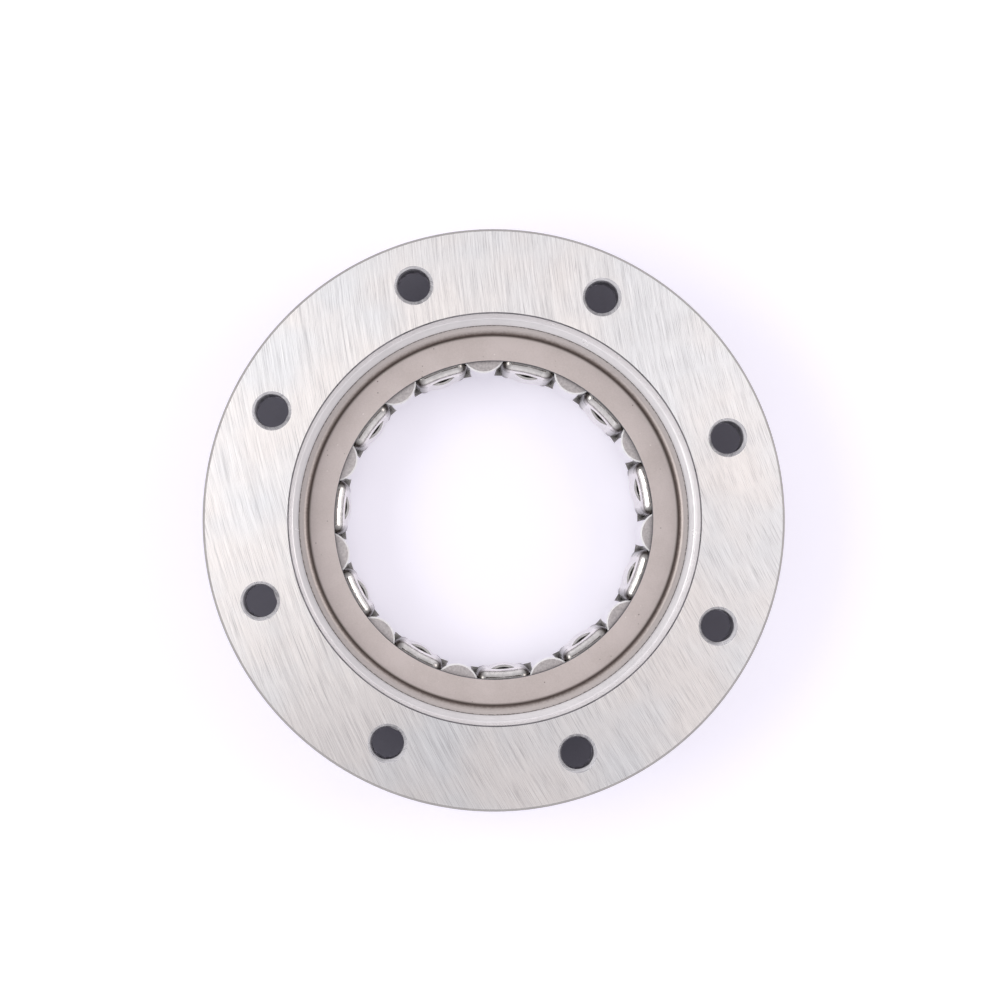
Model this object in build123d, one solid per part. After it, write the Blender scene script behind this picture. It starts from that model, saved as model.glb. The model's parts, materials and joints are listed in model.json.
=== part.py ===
from build123d import *
from math import acos, cos, degrees, radians, sin
import os

# A one-way starter clutch: a flanged steel housing that holds a cam race, and between the race
# and the boss of the starter gear eleven rollers in a sprung sheet-steel cage.
# Millimetres, +Z up. The origin is on the clutch axis, on the underside of the housing.

# The boss of the starter gear, and the rollers that grip it
boss_diameter = 60.0
roller_count = 11
roller_diameter = 9.0
roller_chamfer = 0.3
roller_drop = 0.7
roller_end_play = 0.1
first_roller_angle = 28.1

# Race and side plates, sized outwards from the boss
race_wall = 2.5
race_diameter = boss_diameter + 2 * (roller_diameter + race_wall)
race_length = 14.0
race_fit = 0.01
side_plate_thickness = 1.0
side_plate_margin = 1.5
side_plate_bore = boss_diameter + 2 * side_plate_margin
side_plate_play = 0.1
plate_edge_chamfer = 0.12

# Barrel of the housing, around the race
barrel_wall = 2.5
barrel_diameter = race_diameter + 2 * barrel_wall
barrel_chamfer = 0.8
barrel_root_fillet = 1.5
mouth_chamfer = 0.5

# Flange and its bolt holes, around the barrel
flange_thickness = 6.0
rim_chamfer = 0.6
bolt_count = 8
bolt_hole_diameter = 6.2
bolt_mouth_chamfer = 0.7
bolt_setback = 4.0
bolt_edge_distance = 8.5
bolt_circle_diameter = barrel_diameter + 2 * bolt_setback
flange_diameter = bolt_circle_diameter + 2 * bolt_edge_distance
first_bolt_angle = 19.3

# Recess in the flange face, with the lip that holds the side plate down
recess_wall = 4.05
recess_diameter = barrel_diameter - 2 * recess_wall
recess_depth = 6.5
recess_edge_chamfer = 0.25
recess_floor_fillet = 0.4
moat_width = 1.45
moat_depth = 0.3
lip_width = 1.9
lip_thickness = 1.2
lip_edge_land = 0.1
lip_diameter = recess_diameter - 2 * moat_width
lip_bore_diameter = lip_diameter - 2 * lip_width
lip_round = lip_thickness - lip_edge_land

# Snap ring in its groove, under the stack of plate, race and plate
bottom_land = 0.8
snap_ring_thickness = 1.0
snap_ring_width = 3.2
snap_ring_gap = 16.0
snap_groove_depth = 1.0
groove_side_play = 0.1
eye_diameter = 4.4
eye_hole_diameter = 2.0

# Cam pockets of the race
wedge_angle = 8.0
cam_arc_radius = 25.0
cam_clearance = 0.03
cage_swing = 2.0
pocket_margin_angle = 1.2

# Roller cage, pressed from sheet steel
sheet = 0.45
cage_running_clearance = 0.05
pillar_clearance = 0.05
pillar_depth = 6.6
pillar_bend_radius = 1.4
cage_ring_width = 1.75
cage_ring_thickness = 0.7
cage_end_play = 0.1
land_gap = 0.4

# Drag bridge lanced out of each pillar's wall
bridge_rise = 0.75
bridge_top_radius = 4.0
bridge_bottom_radius = 6.5
bridge_top_drop = 2.0
bridge_slit = 0.5
bridge_height = 9.0
bridge_root = 0.27
window_depth = 2.0

# Lugs of the race inside the pillars, and the springs between lug and pillar
lug_width = 1.6
lug_clearance = 0.1
lug_end_gap = 0.3
spring_strip = 0.25
spring_height = 8.0
spring_folds = 5
spring_fold_flat = 0.1
spring_seat_gap = 0.05
spring_depth = 4.4

# How far a cutting shape runs past what it cuts, and how closely an edge is looked up
cut_margin = 1.0
edge_tolerance = 0.01

# Heights of the stack, from the underside
snap_ring_z = bottom_land
lower_plate_z = snap_ring_z + snap_ring_thickness
race_z = lower_plate_z + side_plate_thickness
upper_plate_z = race_z + race_length
lip_z = upper_plate_z + side_plate_thickness
recess_z = lip_z + lip_thickness
top_z = recess_z + recess_depth
flange_z = top_z - flange_thickness
cage_z = race_z + cage_end_play
cage_top_z = upper_plate_z - cage_end_play
roller_z = cage_z + cage_ring_thickness + roller_end_play
roller_length = upper_plate_z - roller_end_play - roller_z

# Radii and angles that follow from the sizes above
pitch_angle = 360.0 / roller_count
roller_radius = roller_diameter / 2
roller_working_radius = boss_diameter / 2 + roller_radius
roller_rest_radius = roller_working_radius - roller_drop
cage_inner_radius = boss_diameter / 2 + cage_running_clearance
pillar_outer_radius = boss_diameter / 2 + pillar_depth
pillar_half_width = roller_rest_radius * sin(radians(pitch_angle / 2)) - roller_radius - pillar_clearance
cavity_half_width = pillar_half_width - sheet
land_radius = pillar_outer_radius + land_gap
race_radius = race_diameter / 2
cage_ring_radius = cage_inner_radius + cage_ring_width
lug_tip_radius = cage_ring_radius + land_gap
first_pillar_angle = first_roller_angle - pitch_angle / 2
lug_side = -cavity_half_width + lug_clearance
bridge_radius = cage_inner_radius - bridge_rise


def ring(outer_radius, inner_radius, z, height):
    """Flat ring standing on height z."""
    disc = Circle(outer_radius) - Circle(inner_radius)
    return Pos(0, 0, z) * extrude(disc, height)


def rim_edges(solid, radius, z):
    """Full circles of one radius at one height."""
    circles = solid.edges().filter_by(GeomType.CIRCLE)
    circles = [edge for edge in circles if abs(edge.radius - radius) < edge_tolerance]
    return [edge for edge in circles if abs(edge.center().Z - z) < edge_tolerance]


def around(count, first_angle, shape):
    """Copies of a shape made at angle 0, evenly spaced about the clutch axis."""
    return [Rot(0, 0, first_angle + turn * 360.0 / count) * shape for turn in range(count)]


def bolt_hole():
    """Tapped hole through the flange, with a countersunk mouth at each face."""
    hole_radius = bolt_hole_diameter / 2
    mouth_radius = hole_radius + bolt_mouth_chamfer
    drill = Pos(0, 0, flange_z) * extrude(Circle(hole_radius), flange_thickness)
    half_mouth = [
        (0, flange_z),
        (mouth_radius, flange_z),
        (hole_radius, flange_z + bolt_mouth_chamfer),
        (0, flange_z + bolt_mouth_chamfer),
    ]
    lower_mouth = revolve(Plane.XZ * make_face(Polyline(*half_mouth, close=True)), Axis.Z)
    upper_mouth = mirror(lower_mouth, Plane.XY.offset(flange_z + flange_thickness / 2))
    return Pos(bolt_circle_diameter / 2, 0, 0) * (drill + lower_mouth + upper_mouth)


def flange_housing():
    """Flange and barrel in one piece, bored from below for the race and recessed from above."""
    bore_radius = race_radius + race_fit
    inside_radius = lip_bore_diameter / 2 - cut_margin
    flange = ring(flange_diameter / 2, lip_bore_diameter / 2, flange_z, flange_thickness)
    barrel = ring(barrel_diameter / 2, lip_bore_diameter / 2, 0, flange_z)
    body = flange + barrel
    body = fillet(rim_edges(body, barrel_diameter / 2, flange_z), barrel_root_fillet)
    body = chamfer(rim_edges(body, barrel_diameter / 2, 0), barrel_chamfer)
    body = chamfer(rim_edges(body, flange_diameter / 2, top_z), rim_chamfer)
    body = chamfer(rim_edges(body, flange_diameter / 2, flange_z), rim_chamfer)
    body -= ring(bore_radius, inside_radius, 0, lip_z)
    groove_height = snap_ring_thickness + groove_side_play
    body -= ring(bore_radius + snap_groove_depth, inside_radius, snap_ring_z, groove_height)
    body -= ring(recess_diameter / 2, inside_radius, recess_z, recess_depth)
    body -= ring(recess_diameter / 2, lip_diameter / 2, recess_z - moat_depth, moat_depth)
    body = fillet(rim_edges(body, recess_diameter / 2, recess_z - moat_depth), recess_floor_fillet)
    body = fillet(rim_edges(body, lip_bore_diameter / 2, recess_z), lip_round)
    body = chamfer(rim_edges(body, recess_diameter / 2, top_z), recess_edge_chamfer)
    body = chamfer(rim_edges(body, bore_radius, 0), mouth_chamfer)
    for hole in around(bolt_count, first_bolt_angle, bolt_hole()):
        body -= hole
    return body


def roller_span_angle():
    """Half the angle that a working roller takes up at the radius of the race's lands."""
    rise = roller_working_radius**2 + land_radius**2 - roller_radius**2
    return degrees(acos(rise / (2 * roller_working_radius * land_radius)))


def cam_pocket():
    """Pocket for the roller at angle 0: an arc whose wall closes on the boss towards +Y."""
    reach = cam_arc_radius - roller_radius - cam_clearance
    centre_x = roller_working_radius - reach * cos(radians(wedge_angle))
    centre_y = -reach * sin(radians(wedge_angle))
    half_angle = roller_span_angle() + cage_swing + pocket_margin_angle
    corner = (race_radius, race_radius * sin(radians(half_angle)) / cos(radians(half_angle)))
    sector = make_face(Polyline((0, 0), corner, (corner[0], -corner[1]), close=True))
    outline = (Pos(centre_x, centre_y) * Circle(cam_arc_radius)) & sector
    return Pos(0, 0, race_z) * extrude(outline, race_length)


def race_lug():
    """Lug inside the pillar at angle 0: the cage's stop on one side, the spring's seat on the other."""
    bottom = cage_z + cage_ring_thickness + lug_end_gap
    top = cage_top_z - pillar_bend_radius - lug_clearance
    overlap = (race_radius - land_radius) / 2
    length = land_radius + overlap - lug_tip_radius
    centre = (lug_tip_radius + length / 2, lug_side + lug_width / 2, (bottom + top) / 2)
    return Pos(*centre) * Box(length, lug_width, top - bottom)


def cam_race():
    """Hardened outer race, with a wedge-shaped pocket for each roller and a lug for each spring."""
    race = ring(race_radius, land_radius, race_z, race_length)
    for pocket in around(roller_count, first_roller_angle, cam_pocket()):
        race -= pocket
    for lug in around(roller_count, first_pillar_angle, race_lug()):
        race += lug
    return race


def side_plate(z):
    """Hardened thrust plate that closes one end of the race."""
    plate = ring(race_radius - side_plate_play, side_plate_bore / 2, z, side_plate_thickness)
    bore_edges = rim_edges(plate, side_plate_bore / 2, z)
    bore_edges += rim_edges(plate, side_plate_bore / 2, z + side_plate_thickness)
    return chamfer(bore_edges, plate_edge_chamfer)


def snap_ring():
    """Internal snap ring under the lower plate, with an eye at each side of its gap."""
    outer = race_radius + snap_groove_depth - groove_side_play
    inner = outer - snap_ring_width
    band = Circle(outer) - Circle(inner)
    half_gap = radians(snap_ring_gap / 2)
    reach = outer + cut_margin
    gap_corner = (reach, reach * sin(half_gap) / cos(half_gap))
    band -= make_face(Polyline((0, 0), gap_corner, (gap_corner[0], -gap_corner[1]), close=True))
    eye_angle = snap_ring_gap / 2 + degrees(eye_diameter / 2 / inner)
    for side in (-1, 1):
        spot = Rot(0, 0, side * eye_angle) * Pos(inner, 0)
        band += spot * Circle(eye_diameter / 2)
        band -= spot * Circle(eye_hole_diameter / 2)
    return Pos(0, 0, snap_ring_z) * extrude(band, snap_ring_thickness)


def pillar_outline(inner_radius, outer_radius, half_width):
    """Plan of a pillar at angle 0: a stretch of ring with parallel sides."""
    band = Circle(outer_radius) - Circle(inner_radius)
    return band & (Pos(outer_radius / 2, 0) * Rectangle(outer_radius, 2 * half_width))


def rounded_block(outline, bottom, top, radius):
    """Block on an outline, rounded at its bore-side corners and along its top, open outwards."""
    block = Pos(0, 0, bottom) * extrude(outline, top - bottom)
    uprights = block.edges().filter_by(Axis.Z)
    corners = sorted(uprights, key=lambda edge: edge.center().X)[:2]
    block = fillet(corners, radius)
    roof = block.faces().sort_by(Axis.Z)[-1]
    ridge = sorted(roof.edges(), key=lambda edge: edge.center().X)[:-1]
    return fillet(ridge, radius)


def bridge_cone(shrink):
    """Leaning cone whose bore-side line stands upright, shrunk by the sheet for its inside."""
    top = cage_top_z - bridge_top_drop
    top_circle = Pos(bridge_radius + bridge_top_radius, 0, top) * Circle(bridge_top_radius - shrink)
    bottom = top - bridge_height
    bottom_spot = Pos(bridge_radius + bridge_bottom_radius, 0, bottom)
    return loft([bottom_spot * Circle(bridge_bottom_radius - shrink), top_circle], ruled=True)


def pillar():
    """Hollow pillar at angle 0, pressed like a box without a back, with its drag bridge."""
    outline = pillar_outline(cage_inner_radius, pillar_outer_radius, pillar_half_width)
    shell = rounded_block(outline, cage_z, cage_top_z, pillar_bend_radius)
    hollow = pillar_outline(cage_inner_radius + sheet, pillar_outer_radius + cut_margin, cavity_half_width)
    shell -= rounded_block(hollow, cage_z, cage_top_z - sheet, pillar_bend_radius - sheet)
    window = bridge_cone(sheet)
    slit_spot = Pos(bridge_radius + bridge_top_radius, 0, cage_top_z - bridge_top_drop)
    slit = slit_spot * extrude(Circle(bridge_top_radius - sheet), bridge_slit)
    root = pillar_outline(bridge_radius - cut_margin, cage_inner_radius + bridge_root, pillar_half_width)
    bridge = (bridge_cone(0) - window) & (Pos(0, 0, cage_z) * extrude(root, race_length))
    front_size = (2 * window_depth, 2 * pillar_half_width, race_length)
    front = Pos(cage_inner_radius, 0, cage_z + race_length / 2) * Box(*front_size)
    return shell - (window & front) - (slit & front) + bridge


def roller_cage():
    """Cage: a narrow ring at the bottom that carries one hollow pillar between each two rollers."""
    lower_ring = ring(cage_ring_radius, cage_inner_radius, cage_z, cage_ring_thickness)
    return lower_ring + around(roller_count, first_pillar_angle, pillar())


def roller():
    """Roller at angle 0, in the place that it takes with no boss in the bore."""
    body = extrude(Circle(roller_radius), roller_length)
    ends = body.edges().filter_by(GeomType.CIRCLE)
    body = chamfer(ends, roller_chamfer)
    return Pos(roller_rest_radius, 0, roller_z) * body


def accordion_spring():
    """Folded strip spring in the pillar at angle 0, between the race's lug and the far wall."""
    start = lug_side + lug_width + spring_seat_gap + spring_strip / 2
    end = cavity_half_width - spring_seat_gap - spring_strip / 2
    near = lug_tip_radius + spring_strip / 2
    far = near + spring_depth
    pitch = (end - start) / spring_folds
    corners = []
    for leg in range(spring_folds + 1):
        first, last = (near, far) if leg % 2 else (far, near)
        corners += [(first, start + leg * pitch), (last, start + leg * pitch)]
    bend_radius = (pitch - spring_fold_flat) / 2
    strip = trace(FilletPolyline(*corners, radius=bend_radius), spring_strip)
    middle = (cage_z + cage_top_z) / 2
    return Pos(0, 0, middle - spring_height / 2) * extrude(strip, spring_height)


def numbered(name, shapes):
    """Names name_01, name_02 and so on for a list of shapes."""
    return {f"{name}_{index:02d}": shape for index, shape in enumerate(shapes, start=1)}


pieces = {
    "flange_housing": flange_housing(),
    "cam_race": cam_race(),
    "upper_side_plate": side_plate(upper_plate_z),
    "lower_side_plate": side_plate(lower_plate_z),
    "snap_ring": snap_ring(),
    "roller_cage": roller_cage(),
}
pieces.update(numbered("roller", around(roller_count, first_roller_angle, roller())))
pieces.update(numbered("spring", around(roller_count, first_pillar_angle, accordion_spring())))

os.makedirs("parts", exist_ok=True)
for name, piece in pieces.items():
    export_step(piece, f"parts/{name}.step")
print(f"{len(pieces)} pieces, {top_z:.2f} mm tall, flange {flange_diameter} mm")
print(f"roller length {roller_length:.2f}, pillar half width {pillar_half_width:.3f}")
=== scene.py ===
import json
import math

import bmesh
import bpy
import numpy as np
from mathutils import Matrix, Vector

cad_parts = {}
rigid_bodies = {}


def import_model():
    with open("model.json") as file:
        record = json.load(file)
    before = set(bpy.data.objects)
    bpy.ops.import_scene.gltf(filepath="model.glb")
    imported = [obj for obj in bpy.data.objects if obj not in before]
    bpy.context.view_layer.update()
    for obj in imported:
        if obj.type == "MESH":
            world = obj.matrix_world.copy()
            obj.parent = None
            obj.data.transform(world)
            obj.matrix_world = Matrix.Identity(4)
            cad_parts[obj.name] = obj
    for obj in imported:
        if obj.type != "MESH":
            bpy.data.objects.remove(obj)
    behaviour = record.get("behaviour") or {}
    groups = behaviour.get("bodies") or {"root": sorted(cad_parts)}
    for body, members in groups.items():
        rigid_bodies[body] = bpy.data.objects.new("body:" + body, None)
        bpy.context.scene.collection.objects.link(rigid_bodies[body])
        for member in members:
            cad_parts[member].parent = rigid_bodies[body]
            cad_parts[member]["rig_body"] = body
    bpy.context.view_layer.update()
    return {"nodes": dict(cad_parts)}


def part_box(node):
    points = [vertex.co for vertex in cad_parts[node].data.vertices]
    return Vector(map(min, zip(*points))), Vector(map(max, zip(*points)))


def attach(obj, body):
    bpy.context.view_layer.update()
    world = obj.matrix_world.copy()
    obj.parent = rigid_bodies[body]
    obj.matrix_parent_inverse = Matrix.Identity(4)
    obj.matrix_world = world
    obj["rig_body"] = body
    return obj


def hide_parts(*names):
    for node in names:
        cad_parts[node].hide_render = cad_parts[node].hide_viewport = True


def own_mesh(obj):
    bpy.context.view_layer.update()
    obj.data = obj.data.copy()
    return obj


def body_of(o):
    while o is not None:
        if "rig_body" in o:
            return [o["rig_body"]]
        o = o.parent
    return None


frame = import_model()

mm = 0.001
print("frame loaded:", len(frame["nodes"]), "CAD nodes")


# Every shape is worked out in millimetres about the clutch axis and written in metres
meshing = {"weld": 0.0005, "sharpDegrees": 30}      # mm, degrees


def arcPoints(centreR, centreZ, radius, startDegrees, endDegrees, count):
    # points (r, z) = centre + radius * (cos a, sin a), with a in even steps from start to end
    a = np.radians(np.linspace(startDegrees, endDegrees, count))
    return np.stack([centreR + radius * np.cos(a), centreZ + radius * np.sin(a)], axis=1)


def joinedProfile(*stretches):
    # one profile from single points and arcs, each given as (r, z) rows
    return np.concatenate([np.atleast_2d(np.asarray(s, float)) for s in stretches])


def roundAngles(steps, startDegrees=0.0):
    # even steps once round the axis, from the start angle
    return math.radians(startDegrees) + np.arange(steps) * 2 * math.pi / steps


def revolved(profile, angles):
    # surface (r cos a, r sin a, z): the profile's points carried round the Z axis
    r, z = profile[:, 0][:, None], profile[:, 1][:, None]
    return np.stack([r * np.cos(angles), r * np.sin(angles), z + 0 * angles], axis=2)


def turnedBy(x, y, degrees):
    # (x cos a - y sin a, x sin a + y cos a): points turned about the axis
    a = math.radians(degrees)
    return x * math.cos(a) - y * math.sin(a), x * math.sin(a) + y * math.cos(a)


def gridFaces(rows, columns, closedRound, start=0):
    # quads between neighbouring rows and columns of a grid whose first vertex is number start
    index = start + np.arange(rows * columns).reshape(rows, columns)
    if closedRound:
        index = np.concatenate([index, index[:, :1]], axis=1)
    a, b, c, d = index[:-1, :-1], index[:-1, 1:], index[1:, 1:], index[1:, :-1]
    return np.stack([a, b, c, d], axis=2).reshape(-1, 4)


def placedPiece(name, mesh, materials, body, sharpDegrees):
    # smooth shading with sharp edges kept, on an object at the origin that moves with its body
    mesh.polygons.foreach_set("use_smooth", np.ones(len(mesh.polygons), bool))
    mesh.set_sharp_from_angle(angle=math.radians(sharpDegrees))
    for material in materials:
        mesh.materials.append(material)
    piece = bpy.data.objects.new(name, mesh)
    bpy.context.scene.collection.objects.link(piece)
    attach(piece, body)
    return piece


def meshPiece(name, points, faces, slots, materials, body, weld=meshing["weld"], paintedShade=None):
    # shared edges are welded and every shell is turned outwards; the last argument gives each point a share
    # of painted shade
    mesh = bpy.data.meshes.new(name)
    mesh.from_pydata(points * mm, [], faces.tolist())
    if paintedShade is not None:
        mesh.attributes.new("paintedShade", "FLOAT", "POINT").data.foreach_set("value", paintedShade.astype(np.float32))
    mesh.polygons.foreach_set("material_index", slots.astype(np.int32))
    editable = bmesh.new()
    editable.from_mesh(mesh)
    bmesh.ops.remove_doubles(editable, verts=editable.verts, dist=weld * mm)
    bmesh.ops.dissolve_degenerate(editable, edges=editable.edges, dist=weld * mm / 10)
    bmesh.ops.recalc_face_normals(editable, faces=editable.faces)
    editable.to_mesh(mesh)
    editable.free()
    return placedPiece(name, mesh, materials, body, meshing["sharpDegrees"])


def buildPiece(name, parts, finishes, body, weld=meshing["weld"]):
    # parts are (grid closed round its columns, name of its finish in the dictionary of finishes)
    points, faces, slots = [], [], []
    start = 0
    for grid, finish in parts:
        quads = gridFaces(grid.shape[0], grid.shape[1], True, start)
        points.append(grid.reshape(-1, 3))
        faces.append(quads)
        slots.append(np.full(len(quads), list(finishes).index(finish)))
        start += grid.shape[0] * grid.shape[1]
    return meshPiece(name, np.concatenate(points), np.concatenate(faces), np.concatenate(slots),
                     finishes.values(), body, weld)


def linearColour(hexText):
    # sRGB hex to the linear values that shaders take
    channels = np.array([int(hexText[i:i + 2], 16) for i in (1, 3, 5)]) / 255
    linear = np.where(channels <= 0.04045, channels / 12.92, ((channels + 0.055) / 1.055) ** 2.4)
    return (*linear.tolist(), 1.0)


def addNode(tree, kind, values=None, links=None, **settings):
    # a node with its own settings, constant input values and incoming links
    node = tree.nodes.new("ShaderNode" + kind)
    for name, value in settings.items():
        setattr(node, name, value)
    for socket, value in (values or {}).items():
        node.inputs[socket].default_value = value
    for socket, source in (links or {}).items():
        tree.links.new(source, node.inputs[socket])
    return node


def newMaterial(name, shaderValues):
    material = bpy.data.materials.new(name)
    material.use_nodes = True
    tree = material.node_tree
    shader = tree.nodes["Principled BSDF"]
    for socket, value in shaderValues.items():
        shader.inputs[socket].default_value = value
    place = addNode(tree, "TexCoord").outputs["Object"]
    return material, tree, shader, place


def flattened(tree, place):
    # the same place with its height taken out: (x, y, 0)
    return addNode(tree, "VectorMath", {1: (1, 1, 0)}, {0: place}, operation="MULTIPLY").outputs[0]


def axisDistance(tree, place):
    # distance from the clutch axis: the length of (x, y, 0)
    flat = flattened(tree, place)
    return addNode(tree, "VectorMath", links={0: flat}, operation="LENGTH").outputs["Value"]


noiseSpan = {"From Min": 0.3, "From Max": 0.7}      # nearly all values of a noise pattern lie between these


def finishSurface(tree, shader, colour, pattern, roughness, relief, height):
    # roughness runs between its two limits with the pattern, and the relief stands height mm high
    tree.links.new(colour, shader.inputs["Base Color"])
    limits = {"To Min": roughness[0], "To Max": roughness[1]}
    rough = addNode(tree, "MapRange", {**noiseSpan, **limits}, {"Value": pattern})
    tree.links.new(rough.outputs[0], shader.inputs["Roughness"])
    bump = addNode(tree, "Bump", {"Strength": 1.0, "Distance": height * mm}, {"Height": relief})
    tree.links.new(bump.outputs[0], shader.inputs["Normal"])


# Ground steel: the flange's face as a surface grinder leaves it. The eye gets a pale bright face with
# long shallow arcs of scratches, drawn wider than real ones so that they show. A set of scratches is noise
# stretched round a far centre, its width and length in mm; the steel darkens where the noise falls below
# start, by the given share at full.
fineScratches = {"centre": (210.0, 72.0), "width": 0.11, "length": 8.0, "detail": 3.0,
                 "start": 0.5, "full": 0.32, "share": 0.62}
broadScratches = {"centre": (210.0, 72.0), "width": 0.45, "length": 24.0, "detail": 3.0,
                  "start": 0.52, "full": 0.34, "share": 0.1}
crossScratches = {"centre": (240.0, 20.0), "width": 0.18, "length": 9.0, "detail": 2.0,
                  "start": 0.36, "full": 0.26, "share": 0.5}
groundSteelLook = {
    "warm": "#f6f2f0", "cool": "#eff0f2", "scored": "#a9a7aa", "streak": "#cfcdd0", "glint": "#ffffff",
    "coolAt": 0.4, "warmAt": 0.6, "glintFrom": 0.6, "glintTo": 0.7,      # values of the noise
    "roughness": (0.3, 0.4), "spread": 0.8,
    "patchSize": 22.0, "bumpHeight": 0.004,                              # mm
}


def fromCentre(tree, place, scratches):
    # place less the centre that the scratches run round
    x, y = scratches["centre"]
    return addNode(tree, "VectorMath", {1: (x * mm, y * mm, 0)}, {0: place}, operation="SUBTRACT").outputs[0]


def sweepCoordinates(tree, place, scratches):
    # (distance from the centre / width, arc length / length): scratches that follow large circles
    shifted = fromCentre(tree, place, scratches)
    distance = axisDistance(tree, shifted)
    parts = addNode(tree, "SeparateXYZ", links={0: shifted})
    turn = addNode(tree, "Math", links={0: parts.outputs["Y"], 1: parts.outputs["X"]},
                   operation="ARCTAN2").outputs[0]
    wrapped = addNode(tree, "Math", {1: 2 * math.pi}, {0: turn}, operation="FLOORED_MODULO").outputs[0]
    across = addNode(tree, "Math", {1: 1 / (scratches["width"] * mm)}, {0: distance},
                     operation="MULTIPLY").outputs[0]
    along = addNode(tree, "Math", {1: math.hypot(*scratches["centre"]) / scratches["length"]}, {0: wrapped},
                    operation="MULTIPLY").outputs[0]
    return addNode(tree, "CombineXYZ", links={0: across, 1: along}).outputs[0]


def scratchLines(tree, place, scratches):
    # the stretched noise, and the share of dark line that it gives
    noise = addNode(tree, "TexNoise", {"Scale": 1.0, "Detail": scratches["detail"], "Roughness": 0.65},
                    {"Vector": sweepCoordinates(tree, place, scratches)}).outputs[0]
    span = {"From Min": scratches["start"], "From Max": scratches["full"], "To Max": scratches["share"]}
    return noise, addNode(tree, "MapRange", span, {"Value": noise}).outputs[0]


def groundSteel():
    look = groundSteelLook
    shine = {"Metallic": 1.0, "Anisotropic": look["spread"]}
    material, tree, shader, place = newMaterial("ground steel", shine)
    fine, fineShare = scratchLines(tree, place, fineScratches)
    broad, broadShare = scratchLines(tree, place, broadScratches)
    crossShare = scratchLines(tree, place, crossScratches)[1]
    patches = addNode(tree, "TexNoise", {"Scale": 1 / (look["patchSize"] * mm), "Detail": 3.0},
                      {"Vector": place}).outputs[0]
    hue = addNode(tree, "MapRange", {"From Min": look["coolAt"], "From Max": look["warmAt"]},
                  {"Value": patches})
    bright = addNode(tree, "MapRange", {"From Min": look["glintFrom"], "From Max": look["glintTo"]},
                     {"Value": fine}).outputs[0]
    tone = addNode(tree, "Mix", {6: linearColour(look["cool"]), 7: linearColour(look["warm"])},
                   {0: hue.outputs[0]}, data_type="RGBA")
    layers = (("streak", broadShare), ("scored", fineShare), ("scored", crossShare), ("glint", bright))
    for colour, share in layers:
        tone = addNode(tree, "Mix", {7: linearColour(look[colour])}, {0: share, 6: tone.outputs[2]},
                       data_type="RGBA")
    finishSurface(tree, shader, tone.outputs[2], broad, look["roughness"], fine, look["bumpHeight"])
    # light spreads across the scratches, so the wide axis of the shine points away from their centre
    away = flattened(tree, fromCentre(tree, place, fineScratches))
    unit = addNode(tree, "VectorMath", links={0: away}, operation="NORMALIZE").outputs[0]
    turned = addNode(tree, "VectorTransform", links={"Vector": unit}, vector_type="VECTOR",
                     convert_from="OBJECT", convert_to="WORLD").outputs[0]
    tree.links.new(turned, shader.inputs["Tangent"])
    return material


# Turned steel: cut on a lathe, so the eye gets fine rings round the axis, clouded by stains. The rings are
# drawn coarser than a real feed so that they show.
turnedLook = {
    "cloudSize": 5.0,                                                     # mm
    "cloudShare": 0.45, "darkAt": 0.36, "paleAt": 0.56, "roughnessSpread": 0.07,
}


def turnedSteel(name, pale, dark, roughness, ringPitch, bumpHeight, metallic=1.0):
    # rings: one-dimensional noise of (distance from the axis + height) / pitch
    look = turnedLook
    material, tree, shader, place = newMaterial(name, {"Metallic": metallic})
    height = addNode(tree, "SeparateXYZ", links={0: place}).outputs["Z"]
    feed = addNode(tree, "Math", links={0: axisDistance(tree, place), 1: height}, operation="ADD").outputs[0]
    scaled = addNode(tree, "Math", {1: 1 / (ringPitch * mm)}, {0: feed}, operation="MULTIPLY").outputs[0]
    rings = addNode(tree, "TexNoise", {"Scale": 1.0, "Detail": 3.0, "Roughness": 0.7}, {"W": scaled},
                    noise_dimensions="1D").outputs[0]
    cloud = addNode(tree, "TexNoise", {"Scale": 1 / (look["cloudSize"] * mm), "Detail": 5.0,
                    "Roughness": 0.65}, {"Vector": place}).outputs[0]
    both = addNode(tree, "Mix", {"Factor": look["cloudShare"]}, {2: rings, 3: cloud}, data_type="FLOAT")
    tone = addNode(tree, "ValToRGB", links={"Fac": both.outputs[0]})
    first, last = tone.color_ramp.elements
    first.position, first.color = look["darkAt"], linearColour(dark)
    last.position, last.color = look["paleAt"], linearColour(pale)
    limits = (roughness - look["roughnessSpread"], roughness + look["roughnessSpread"])
    finishSurface(tree, shader, tone.outputs["Color"], cloud, limits, rings, bumpHeight)
    return material


# Peened steel: the lip rolled over the plate. The eye gets a dull gritty band, darker where it meets the
# plate, from dirt and painted shade in the crease, and a dark line at its step that is a painted shadow of
# the moat. Stops run from the inner to the outer radius.
peenedLook = {
    "innerRadius": 36.6, "outerRadius": 38.6, "gritSize": 0.5, "waver": 0.12, "bumpHeight": 0.008,      # mm
    "metallic": 0.8, "roughness": (0.38, 0.52),
    # stops: dark at the inner radius for dirt and painted shade in the crease, a painted shadow line at the
    # outer step
    "stops": [(0.0, "#564c47"), (0.16, "#837974"), (0.38, "#c3bab6"), (0.6, "#d6cecb"), (0.84, "#d0c9c6"),
              (0.93, "#5d5754")],
}


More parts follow.
